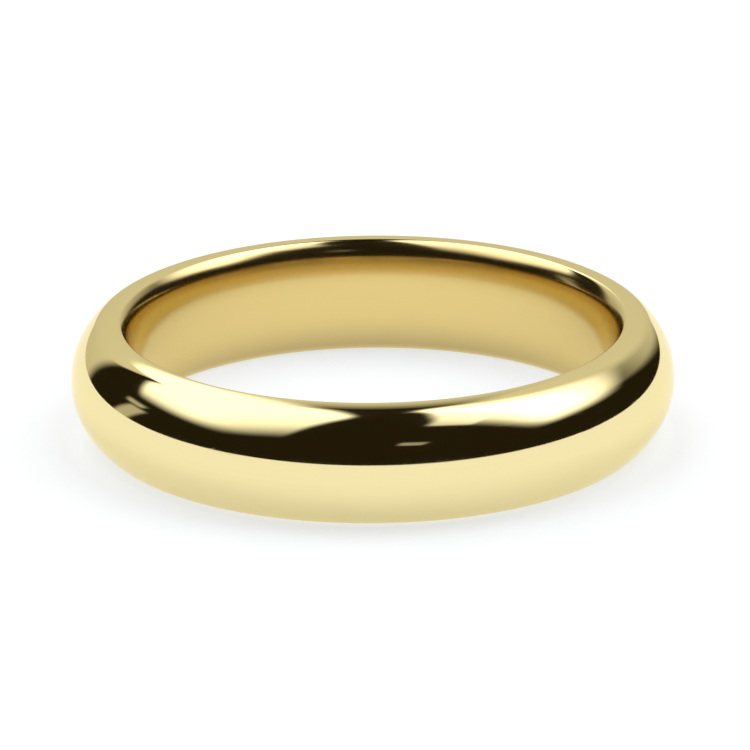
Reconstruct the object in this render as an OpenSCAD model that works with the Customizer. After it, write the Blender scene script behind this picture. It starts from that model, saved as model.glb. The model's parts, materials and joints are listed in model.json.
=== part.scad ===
// A plain domed band for a finger, in one seamless piece of gold.
// It lies flat: +Z runs along the axis of the bore, and the origin is at the
// middle of the circle that it rests on.

/* [Finger size] */
// Inside diameter of the band, at the middle of the bore
bore_d = 16.2; // [14:0.1:22]

/* [Band] */
// Width of the band, from side to side
band_w = 4; // [3.8:0.1:7]
// Thickness of the metal at the middle of the band
wall_t = 2.05; // [1.95:0.05:2.2]

/* [Edges] */
// Radius of the shoulder that rolls the domed outside over to each side
shoulder_r = 0.575; // [0.4:0.025:0.75]
// Width of the flat rim on each side, which the band rests on
rim_w = 0.4; // [0.3:0.05:0.45]
// How far each mouth opens out, from the bore to the flat rim
mouth_w = 0.45; // [0.425:0.025:0.475]
// Radius of the small edge where each flat rim turns into the mouth
edge_r = 0.15; // [0.15:0.025:0.2]
// Radius of the curve below that edge
mouth_r = 0.875; // [0.85:0.025:0.875]
// Radius of the long, slow curve from there to the middle of the bore
swell_r = 7.25; // [6:0.25:7.25]

/* [Hidden] */

GOLD = [0.86, 0.73, 0.42];

half_w = band_w / 2;
bore_r = bore_d / 2;
outer_r = bore_r + wall_t;

// The edge starts at the inner side of the flat rim and turns down into the mouth,
// whose centre is at this angle below the level of the edge's.
edge_c = [bore_r + mouth_w, half_w - edge_r];
mouth_angle = acos(20 / 29);
mouth_c = edge_c + (mouth_r - edge_r) * [cos(mouth_angle), -sin(mouth_angle)];

// The swell meets the mouth without a step and ends at the straight middle of the bore.
swell_angle = acos((bore_r + swell_r - mouth_c[0]) / (swell_r - mouth_r));
swell_c = [bore_r + swell_r, mouth_c[1] - (swell_r - mouth_r) * sin(swell_angle)];
bore_end = [bore_r, swell_c[1]];

// The shoulder starts at the outer side of the flat rim.
shoulder_c = [edge_c[0] + rim_w, half_w - shoulder_r];

// The dome is the circle that passes over the middle of the band and meets both
// shoulders without a step.
dome_rise = outer_r - shoulder_c[0];
dome_r = (pow(dome_rise, 2) + pow(shoulder_c[1], 2) - pow(shoulder_r, 2))
    / (2 * (dome_rise - shoulder_r));
dome_c = [outer_r - dome_r, 0];
dome_angle = atan2(shoulder_c[1], shoulder_c[0] - dome_c[0]);

// Longer than any way through the section
reach = 2 * band_w;

// Point at a distance and a direction from a centre
function around(centre, distance, angle) = centre + distance * [cos(angle), sin(angle)];

// The same points on the other side of the middle of the band, in reverse
function other_side(points) = [for (i = [len(points) - 1 : -1 : 0]) [points[i][0], -points[i][1]]];

// The part of a disc between two directions, outside one or two points of the core.
// Neighbours share such a point and a direction, so their arcs join exactly.
module sector(centre, radius, from, to, inner) {
    intersection() {
        translate(centre) circle(r = radius, $fn = 180);
        polygon(concat(inner, [
            around(inner[len(inner) - 1], reach, to),
            around(centre, reach, (from + to) / 2),
            around(inner[0], reach, from)
        ]));
    }
}

// The middle of the section, which every arc is joined to
module section_core() {
    upper = [shoulder_c, [shoulder_c[0], half_w], [edge_c[0], half_w], edge_c, bore_end];
    polygon(concat(upper, other_side(upper)));
}

module band_section() {
    section_core();
    sector(dome_c, dome_r, -dome_angle, dome_angle, concat(other_side([shoulder_c]), [shoulder_c]));
    for (side = [0, 1]) mirror([0, side, 0]) {
        sector(shoulder_c, shoulder_r, dome_angle, 90, [shoulder_c]);
        sector(edge_c, edge_r, 90, 180 - mouth_angle, [edge_c]);
        sector(mouth_c, mouth_r, 180 - mouth_angle, 180 - swell_angle, [edge_c, mouth_c]);
        sector(swell_c, swell_r, 180 - swell_angle, 180, [mouth_c, bore_end]);
    }
}

module band() {
    color(GOLD)
    translate([0, 0, half_w])
    rotate_extrude($fn = 180) band_section();
}

band();
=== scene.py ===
import json
import math

import bpy
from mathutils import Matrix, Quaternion, Vector

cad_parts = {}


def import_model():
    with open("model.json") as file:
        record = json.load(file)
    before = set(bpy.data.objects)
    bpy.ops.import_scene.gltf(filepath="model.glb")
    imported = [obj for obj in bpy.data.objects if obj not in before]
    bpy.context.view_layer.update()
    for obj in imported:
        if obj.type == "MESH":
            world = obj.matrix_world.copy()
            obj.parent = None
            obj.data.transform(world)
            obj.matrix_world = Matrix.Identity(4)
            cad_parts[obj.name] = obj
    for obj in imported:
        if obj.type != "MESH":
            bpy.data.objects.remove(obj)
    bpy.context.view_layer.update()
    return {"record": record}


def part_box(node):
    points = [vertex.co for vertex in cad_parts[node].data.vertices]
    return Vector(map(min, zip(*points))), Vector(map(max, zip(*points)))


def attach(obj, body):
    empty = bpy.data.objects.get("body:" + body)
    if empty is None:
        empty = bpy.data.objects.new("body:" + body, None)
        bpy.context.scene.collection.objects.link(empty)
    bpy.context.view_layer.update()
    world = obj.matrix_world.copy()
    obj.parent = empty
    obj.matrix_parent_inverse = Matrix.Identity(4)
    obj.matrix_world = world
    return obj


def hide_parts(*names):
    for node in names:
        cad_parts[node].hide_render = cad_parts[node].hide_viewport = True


MM = 0.001

# The band's section, in metres. Its width, its outside and its bore come from the frame.
SHOULDER_R = 0.575 * MM
RIM_W = 0.4 * MM
EDGE_R = 0.15 * MM
MOUTH_W = 0.45 * MM
MOUTH_R = 0.875 * MM
MOUTH_SET = 0.5 * MM
SWELL_R = 7.25 * MM
# Buffing leaves the flat rim faintly crowned.
CROWN_R = 3.0 * MM

# The gold: its palest and its deepest tone, outside and in the bore. The bore's two are set darker than
# the outside's, as painted shade in the hollow of the band.
GOLD_PALE = (0.90, 0.775, 0.415)
GOLD_DEEP = (0.88, 0.745, 0.38)
BORE_SHADED_PALE = (0.77, 0.60, 0.245)
BORE_SHADED_DEEP = (0.73, 0.555, 0.21)
# The bore's darker colour towards both mouths, a painted shade
MOUTH_PAINTED_SHADE = (0.60, 0.46, 0.20)
GRAZING_GOLD = (1.0, 0.96, 0.80)
# The bore's finish and its painted shade start this far outside the bore, and the painted shade deepens
# further this far from the middle.
BORE_EDGE = (0.3 * MM, 0.15 * MM)
MOUTH_SHADE_START = (1.4 * MM, 0.6 * MM)
# Buffing marks to the metre: along the way round, and across it
LINES_ROUND = 90
LINES_ACROSS = 9000
SCRATCHES_ROUND = 500
SCRATCHES_ACROSS = 26000
SMUDGE_SCALE = 260.0
WAVE_SCALE = 150.0
WAVE_DEPTH = 2e-6
LINE_DEPTH = 8e-7
SCRATCH_DEPTH = 1e-7

# How finely the band is turned
STEPS_ROUND = 480
STEPS_DOME = 36
STEPS_SHOULDER = 16
STEPS_CROWN = 8
STEPS_EDGE = 10
STEPS_MOUTH = 14
STEPS_SWELL = 12
STEPS_LAND = 2

# The camera, in degrees, millimetres of lens and outside radii of the band
VIEW_HEIGHT = 19.26
VIEW_TILT = 0.44
VIEW_DISTANCE = 21.98
VIEW_LENS = 318.2
SENSOR = 36
VIEW_SHIFT = (0.0029, -0.001)

FLOOR_SIZE = 0.9

# The light tent. Its ceiling is one unit above the band and its back wall one unit behind it.
# Each edge is a place on that plane and half the width of its blur. A slant is how far an edge
# moves for each unit along the other direction.
LEFT_OUTER = (-1.72, 0.58)
LEFT_INNER = (-0.09, 0.045)
LEFT_FRONT = (-0.67, 0.58)
LEFT_BACK = (0.72, 0.1)
LEFT_CORNER = (-0.155, 0.07)
LEFT_CORNER_SLANT = 1.11
LEFT_STRIP = (-1.0, 0.05)
LEFT_STRIP_SLANT = 0.35
LEFT_LIGHT = 1.86
RIGHT_INNER = (0.115, 0.035)
RIGHT_OUTER = (1.95, 0.72)
RIGHT_FRONT = (-0.19, 0.32)
RIGHT_BACK = (0.5, 0.72)
RIGHT_CORNER = (0.2, 0.05)
RIGHT_CORNER_SLANT = 0.29
RIGHT_FRONT_SLANT = 0.24
RIGHT_BACK_SLANT = 0.1
RIGHT_OUTER_SLANT = 0.27
RIGHT_LIGHT = 2.75
# The flap and the lamps: from and to across, from and to along, and their blur
FLAP = (0.33, 0.67, -0.59, -0.3, 0.04)
FLAP_LIGHT = 0.8
LAMPS = (0.3, 0.62, -1.78, -1.5, 0.05)
LAMPS_LIGHT = 0.35
CEILING_START = (0.25, 0.1)
WALL_LEFT = (-0.92, 0.13)
WALL_RIGHT = (0.45, 0.16)
WALL_START = (0.1, 0.1)
WALL_STEP = 0.7
WALL_STEP_SLANT = 0.57
WALL_STEP_END = 0.8
WALL_RIGHT_SLANT = 1.69
WALL_FADE = (0.88, 0.7)
WALL_FADE_SHARE = 0.76
WALL_TOP = 1.5
GAP_START = (0.61, 0.28)
WALL_TINT = (1.0, 0.98, 0.85)
# The bent strip in the left side
STRIP_SIDE = (-0.3, 0.1)
STRIP_BLUR = 0.034
STRIP_SLANT = 0.5
STRIP_PLACE = 0.337
SLIT_HALF = 0.085
SLIT_TOP = 0.255
HOOK_LOW = 0.284
HOOK_HIGH = 0.35
HOOK_BACK = 0.374
STRIP_LIGHT = 0.5
# What the camera itself sees behind the band, and how much of the cloth's light the card loses
BACKDROP = 1.1
CARD_LOSS = 0.85
DARK = (0.017, 0.0125, 0.006)


# ---------------------------------------------------------------- shader maths

class Wire:
    """One output in a node tree. Python's arithmetic on it adds Math nodes."""

    def __init__(self, tree, socket):
        self.tree = tree
        self.socket = socket

    @classmethod
    def node(cls, tree, kind, settings=None, inputs=None):
        """Makes any node: its settings first, then a number, a colour or a wire for each input."""
        made = tree.nodes.new(kind)
        for name, value in (settings or {}).items():
            setattr(made, name, value)
        for name, value in (inputs or {}).items():
            if isinstance(value, Wire):
                tree.links.new(value.socket, made.inputs[name])
            else:
                made.inputs[name].default_value = value
        return cls(tree, made.outputs[0]) if made.outputs else None

    def output(self, name):
        """Another output of the node that this wire leaves."""
        return Wire(self.tree, self.socket.node.outputs[name])

    def plug(self, name, wire):
        """Feeds one more input of the node that this wire leaves."""
        self.tree.links.new(wire.socket, self.socket.node.inputs[name])

    def math(self, operation, *values):
        inputs = dict(enumerate(values))
        return Wire.node(self.tree, "ShaderNodeMath", {"operation": operation}, inputs)

    def __add__(self, other):
        return self.math("ADD", self, other)

    __radd__ = __add__

    def __mul__(self, other):
        return self.math("MULTIPLY", self, other)

    __rmul__ = __mul__

    def __sub__(self, other):
        return self.math("SUBTRACT", self, other)

    def __rsub__(self, other):
        return self.math("SUBTRACT", other, self)

    def __truediv__(self, other):
        return self.math("DIVIDE", self, other)

    def above(self, edge, blur):
        """0 below the edge and 1 above it, with a soft step of that half width."""
        inputs = {"Value": self, "From Min": edge - blur, "From Max": edge + blur}
        return Wire.node(self.tree, "ShaderNodeMapRange", {"interpolation_type": "SMOOTHSTEP"}, inputs)

    def below(self, edge, blur):
        return 1 - self.above(edge, blur)

    def between(self, low, high, blur):
        return self.above(low, blur) * self.below(high, blur)

    @classmethod
    def noise(cls, tree, place, scale, detail):
        """Even noise from 0 to 1 at the place that the wire carries."""
        inputs = {"Vector": place, "Scale": scale, "Detail": detail}
        return cls.node(tree, "ShaderNodeTexNoise", None, inputs)

    def tint(self, low, high):
        """A colour that goes from low to high as this value goes from 0 to 1."""
        return self.blend((*low, 1), (*high, 1))

    def blend(self, low, high):
        """The same between two colours that may be wires."""
        inputs = {0: self, 6: low, 7: high}
        return Wire.node(self.tree, "ShaderNodeMix", {"data_type": "RGBA"}, inputs).output(2)


def empty_tree(owner):
    owner.use_nodes = True
    owner.node_tree.nodes.clear()
    return owner.node_tree


# ---------------------------------------------------------------- the band

def around(centre, radius, angle):
    """The point at a distance and a direction from a centre, in the plane of the section."""
    return (centre[0] + radius * math.cos(angle), centre[1] + radius * math.sin(angle))


def arc(centre, radius, start, end, steps):
    """Points along an arc, without its last one."""
    return [around(centre, radius, start + (end - start) * i / steps) for i in range(steps)]


def straight(a, b, steps):
    """Points along a straight stretch, without its last one."""
    return [(a[0] + (b[0] - a[0]) * i / steps, a[1] + (b[1] - a[1]) * i / steps) for i in range(steps)]


def upper_half_section(outer_r, bore_r, half_w):
    """The section from the middle of the dome, over the rim, to the middle of the bore."""
    up = math.pi / 2
    edge_c = (bore_r + MOUTH_W, half_w - EDGE_R)
    mouth_angle = math.acos(MOUTH_SET / (MOUTH_R - EDGE_R))
    mouth_c = (edge_c[0] + MOUTH_SET, edge_c[1] - (MOUTH_R - EDGE_R) * math.sin(mouth_angle))
    swell_angle = math.acos((bore_r + SWELL_R - mouth_c[0]) / (SWELL_R - MOUTH_R))
    swell_c = (bore_r + SWELL_R, mouth_c[1] - (SWELL_R - MOUTH_R) * math.sin(swell_angle))
    # The crown of the rim leans out by this much where the shoulder takes over.
    lean = math.asin(RIM_W / (CROWN_R - SHOULDER_R))
    crown_c = (edge_c[0], half_w - CROWN_R)
    shoulder_c = around(crown_c, CROWN_R - SHOULDER_R, up - lean)
    rise = outer_r - shoulder_c[0]
    dome_r = (rise ** 2 + shoulder_c[1] ** 2 - SHOULDER_R ** 2) / (2 * (rise - SHOULDER_R))
    dome_c = (outer_r - dome_r, 0.0)
    dome_angle = math.asin(shoulder_c[1] / (dome_r - SHOULDER_R))
    points = arc(dome_c, dome_r, 0, dome_angle, STEPS_DOME)
    points += arc(shoulder_c, SHOULDER_R, dome_angle, up - lean, STEPS_SHOULDER)
    points += arc(crown_c, CROWN_R, up - lean, up, STEPS_CROWN)
    points += arc(edge_c, EDGE_R, up, math.pi - mouth_angle, STEPS_EDGE)
    points += arc(mouth_c, MOUTH_R, math.pi - mouth_angle, math.pi - swell_angle, STEPS_MOUTH)
    points += arc(swell_c, SWELL_R, math.pi - swell_angle, math.pi, STEPS_SWELL)
    points += straight((bore_r, swell_c[1]), (bore_r, 0.0), STEPS_LAND)
    return points + [(bore_r, 0.0)]


def turned_band(outer_r, bore_r, half_w):
    """The whole section turned round the bore's axis, standing on z = 0."""
    upper = upper_half_section(outer_r, bore_r, half_w)
    lower = [(r, -z) for r, z in reversed(upper[1:-1])]
    outline = upper + lower
    count = len(outline)
    vertices = []
    for i in range(STEPS_ROUND):
        turn = 2 * math.pi * i / STEPS_ROUND
        vertices += [(r * math.cos(turn), r * math.sin(turn), z + half_w) for r, z in outline]
    faces = []
    for i in range(STEPS_ROUND):
        here = i * count
        ahead = (i + 1) % STEPS_ROUND * count
        for j in range(count):
            k = (j + 1) % count
            faces.append((here + j, ahead + j, ahead + k, here + k))
    mesh = bpy.data.meshes.new("band_metal")
    mesh.from_pydata(vertices, [], faces)
    mesh.polygons.foreach_set("use_smooth", [True] * len(faces))
    mesh.update()
    band = bpy.data.objects.new("band_metal", mesh)
    bpy.context.scene.collection.objects.link(band)
    return band


def polished_gold(bore_r, half_w):
    """Yellow gold, buffed to a mirror outside and softer in the bore, with painted shade darkening the
    bore's colour and more so towards its mouths.
    """
    material = bpy.data.materials.new("polished_gold")
    tree = empty_tree(material)
    place = Wire.node(tree, "ShaderNodeTexCoord").output("Object")
    x = Wire.node(tree, "ShaderNodeSeparateXYZ", None, {"Vector": place})
    y = x.output("Y")
    z = x.output("Z")
    square = x * x + y * y
    radius = square.math("SQRT", square)
    inside = radius.below(bore_r + BORE_EDGE[0], BORE_EDGE[1])
    # Painted shade: the bore's colour darkens towards both mouths.
    depth = z - half_w
    painted_mouth_shade = depth.math("ABSOLUTE", depth).above(*MOUTH_SHADE_START)
    # Buffing runs round the band, so its marks are long that way and fine across it.
    grain = {"X": x * LINES_ROUND, "Y": y * LINES_ROUND, "Z": z * LINES_ACROSS}
    lines = Wire.noise(tree, Wire.node(tree, "ShaderNodeCombineXYZ", None, grain), 1.0, 2)
    fine = z * SCRATCHES_ACROSS + radius * SCRATCHES_ACROSS
    grain = {"X": x * SCRATCHES_ROUND, "Y": y * SCRATCHES_ROUND, "Z": fine}
    scratches = Wire.noise(tree, Wire.node(tree, "ShaderNodeCombineXYZ", None, grain), 1.0, 1)
    scratches = scratches.above(0.72, 0.04)
    # Faint smudges dull the metal a little, and the surface is slightly wavy.
    smudges = Wire.noise(tree, place, SMUDGE_SCALE, 4)
    waves = Wire.noise(tree, place, WAVE_SCALE, 1)
    dull = smudges.above(0.5, 0.22) * 0.03 + inside * (0.1 + lines * 0.05) + 0.035
    relief = waves * WAVE_DEPTH + (lines * inside + lines * 0.12) * LINE_DEPTH + scratches * SCRATCH_DEPTH
    bump = Wire.node(tree, "ShaderNodeBump", None, {"Strength": 1.0, "Distance": 1.0, "Height": relief})
    inputs = {"Metallic": 1.0, "Roughness": dull + scratches * 0.05, "Normal": bump}
    inputs["Specular Tint"] = (*GRAZING_GOLD, 1)
    gold = Wire.node(tree, "ShaderNodeBsdfPrincipled", None, inputs)
    shade = smudges * 0.5 + lines * 0.5
    outer = shade.tint(GOLD_DEEP, GOLD_PALE)
    # Painted shade: the bore's colour is darker than the outside's, and darker still towards both mouths.
    shaded_bore_colour = painted_mouth_shade.blend(shade.tint(BORE_SHADED_DEEP, BORE_SHADED_PALE), (*MOUTH_PAINTED_SHADE, 1))
    gold.plug("Base Color", inside.blend(outer, shaded_bore_colour))
    Wire.node(tree, "ShaderNodeOutputMaterial", None, {"Surface": gold})
    return material


# ---------------------------------------------------------------- the studio

def patch(across, along, low, high, front, back, blur):
    """A soft-edged rectangle on the ceiling."""
    return across.between(low, high, blur) * along.between(front, back, blur)


def ceiling_panels(across, along):
    """A left and a right panel of soft light, with the dark gap between them left out."""
    left = across.above(*LEFT_OUTER) * across.below(*LEFT_INNER) * along.above(*LEFT_FRONT)
    left = left * (along - across * LEFT_CORNER_SLANT).above(*LEFT_CORNER)
    # Behind its back edge the panel goes on only in a strip beside the gap.
    strip = (across - along * LEFT_STRIP_SLANT).above(*LEFT_STRIP)
    left = left * strip.math("MAXIMUM", along.below(*LEFT_BACK), strip)
    right = across.above(*RIGHT_INNER) * (across + along * RIGHT_CORNER_SLANT).above(*RIGHT_CORNER)
    right = right * (along + across * RIGHT_FRONT_SLANT).above(*RIGHT_FRONT)
    right = right * (along - across * RIGHT_BACK_SLANT).below(*RIGHT_BACK)
    right = right * (across - along * RIGHT_OUTER_SLANT).below(*RIGHT_OUTER)
    # A dimmer flap at the front corner of the right panel, and a small row of lamps in front of it
    flap = patch(across, along, *FLAP) * (1 - right)
    lamps = patch(across, along, *LAMPS)
    light = left * LEFT_LIGHT + right * RIGHT_LIGHT + flap * FLAP_LIGHT + lamps * LAMPS_LIGHT
    return light, left, right


def back_wall(x, y, z, across, overhead, left, right):
    """The cloth behind the band, one unit away: side is to the right, rise is up."""
    behind = y.math("MAXIMUM", y, 0.01)
    side = x / behind
    rise = z / behind
    step_in = (rise - WALL_STEP).math("MAXIMUM", rise - WALL_STEP, 0) * WALL_STEP_SLANT
    near = side - step_in.math("MINIMUM", step_in, WALL_STEP_END)
    wall = y.above(*WALL_START) * near.above(*WALL_LEFT)
    wall = wall * (side - rise * WALL_RIGHT_SLANT).below(*WALL_RIGHT)
    wall = wall * (1 - side.above(*WALL_FADE) * WALL_FADE_SHARE)
    gap = across.above(*LEFT_INNER) * across.below(*RIGHT_INNER) * rise.above(*GAP_START)
    # It is brightest a little above the band and dims towards its top.
    level = rise.math("MINIMUM", rise, WALL_TOP)
    shade = level * (0.31 - level * 0.185) + 0.6
    return wall * (1 - gap) * (1 - overhead * left) * (1 - overhead * right) * shade


def bent_strip(x, y, z):
    """The light that comes in by a gap in the left side of the tent: a slit with a hook on top."""
    aside = (0 - x).math("MAXIMUM", 0 - x, 0.01)
    back = y / aside
    high = z / aside
    bend = back + high * STRIP_SLANT - STRIP_PLACE
    slit = bend.between(-SLIT_HALF, SLIT_HALF, STRIP_BLUR) * high.below(SLIT_TOP, STRIP_BLUR)
    hook = high.between(HOOK_LOW, HOOK_HIGH, STRIP_BLUR) * bend.above(0, STRIP_BLUR)
    hook = hook * back.below(HOOK_BACK, STRIP_BLUR)
    return x.below(*STRIP_SIDE) * slit.math("MAXIMUM", slit, hook) * STRIP_LIGHT


def light_tent():
    """A tent of pale cloth, open towards the camera, under two panels of soft light."""
    world = bpy.data.worlds.new("light_tent")
    bpy.context.scene.world = world
    tree = empty_tree(world)
    ray = Wire.node(tree, "ShaderNodeTexCoord").output("Generated")
    x = Wire.node(tree, "ShaderNodeSeparateXYZ", None, {"Vector": ray})
    y = x.output("Y")
    z = x.output("Z")
    # A flat ceiling one unit up: across is to the right, along is away from the camera.
    up = z.math("MAXIMUM", z, 0.01)
    across = x / up
    along = y / up
    overhead = z.above(*CEILING_START)
    panels, left, right = ceiling_panels(across, along)
    light = overhead * panels
    cloth = back_wall(x, y, z, across, overhead, left, right) + bent_strip(x, y, z)
    # The card below the band takes most of its light from the ceiling.
    path = Wire.node(tree, "ShaderNodeLightPath")
    seen = path.output("Is Camera Ray")
    cloth = cloth * (1 - path.output("Is Diffuse Ray") * CARD_LOSS)
    share = cloth / (cloth + light + 0.001)
    strength = (cloth + light) * (1 - seen) + seen * BACKDROP
    bright = Wire.node(tree, "ShaderNodeBackground", None, {"Strength": strength})
    bright.plug("Color", (share * (1 - seen)).tint((1, 1, 1), WALL_TINT))
    dim = Wire.node(tree, "ShaderNodeBackground", None, {"Color": (*DARK, 1)})
    total = Wire.node(tree, "ShaderNodeAddShader", None, {0: bright, 1: dim})
    Wire.node(tree, "ShaderNodeOutputWorld", None, {"Surface": total})


def pale_floor():
    mesh = bpy.data.meshes.new("pale_floor")
    half = FLOOR_SIZE / 2
    corners = [(-half, -half, 0), (half, -half, 0), (half, half, 0), (-half, half, 0)]
    mesh.from_pydata(corners, [], [(0, 1, 2, 3)])
    floor = bpy.data.objects.new("pale_floor", mesh)
    bpy.context.scene.collection.objects.link(floor)
    material = bpy.data.materials.new("white_card")
    tree = empty_tree(material)
    inputs = {
        "Base Color": (0.46, 0.46, 0.46, 1),
        "Roughness": 1.0,
        "Specular IOR Level": 0.0,
        "Emission Color": (0.93, 0.96, 1.0, 1),
        "Emission Strength": 0.65,
    }
    card = Wire.node(tree, "ShaderNodeBsdfPrincipled", None, inputs)
    Wire.node(tree, "ShaderNodeOutputMaterial", None, {"Surface": card})
    mesh.materials.append(material)


def camera_at(centre, radius):
    """A long lens, a little above the band, in front of it."""
    rise = math.radians(VIEW_HEIGHT)
    back = Vector((0, -math.cos(rise), math.sin(rise)))
    data = bpy.data.cameras.new("camera")
    data.sensor_width = SENSOR
    data.lens = VIEW_LENS
    data.shift_x = VIEW_SHIFT[0]
    data.shift_y = VIEW_SHIFT[1]
    data.clip_start = 0.01
    data.clip_end = 10
    camera = bpy.data.objects.new("camera", data)
    camera.location = centre + back * VIEW_DISTANCE * radius
    look = (-back).to_track_quat("-Z", "Y")
    camera.rotation_mode = "QUATERNION"
    camera.rotation_quaternion = look @ Quaternion((0, 0, 1), -math.radians(VIEW_TILT))
    bpy.context.scene.collection.objects.link(camera)
    bpy.context.scene.camera = camera


def main():
    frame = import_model()
    low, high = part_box("band")
    half_w = (high.z - low.z) / 2
    outer_r = max(high.x, high.y, -low.x, -low.y)
    bore = next(m for m in frame["record"]["mounts"] if m["name"] == "bore")
    bore_r = bore["dims"]["r_mm"] * MM

    band = turned_band(outer_r, bore_r, half_w)
    band.data.materials.append(polished_gold(bore_r, half_w))
    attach(band, "root")
    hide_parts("band")

    camera_at(Vector((0, 0, half_w)), outer_r)
    light_tent()
    pale_floor()
    bpy.context.scene.view_settings.view_transform = "Standard"


main()
